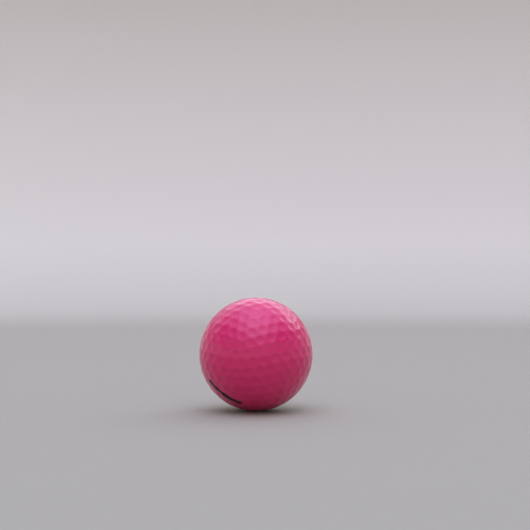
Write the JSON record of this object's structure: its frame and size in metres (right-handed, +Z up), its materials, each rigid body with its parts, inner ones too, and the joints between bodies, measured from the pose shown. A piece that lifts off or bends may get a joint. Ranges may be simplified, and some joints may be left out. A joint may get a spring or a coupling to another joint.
{
  "type": "golf ball",
  "caption": "Dimpled golf ball: a solid rubber core in layers, a thin stiff mantle and a glossy pink cover covered in shallow round dimples, with a plain printed alignment bar.",
  "frame": {"origin": "centre of the ball", "axes": "+Z up, away from the tee; -Y towards the front, the side that shows the printed bar at its lower left"},
  "size_m": [0.0426, 0.0426, 0.0426],
  "materials": {
    "inner_core_rubber": "matte moulded rubber",
    "outer_core_rubber": "matte moulded rubber",
    "mantle_plastic": "smooth moulded ionomer",
    "cover_plastic": "satin gloss clear coat over pink",
    "bar_ink": "pad-printed ink under the clear coat"
  },
  "bodies": {
    "root": {"inner_core": "inner_core_rubber", "outer_core": "outer_core_rubber", "mantle": "mantle_plastic", "cover": "cover_plastic", "alignment_bar": "bar_ink"}
  },
  "joints": []
}
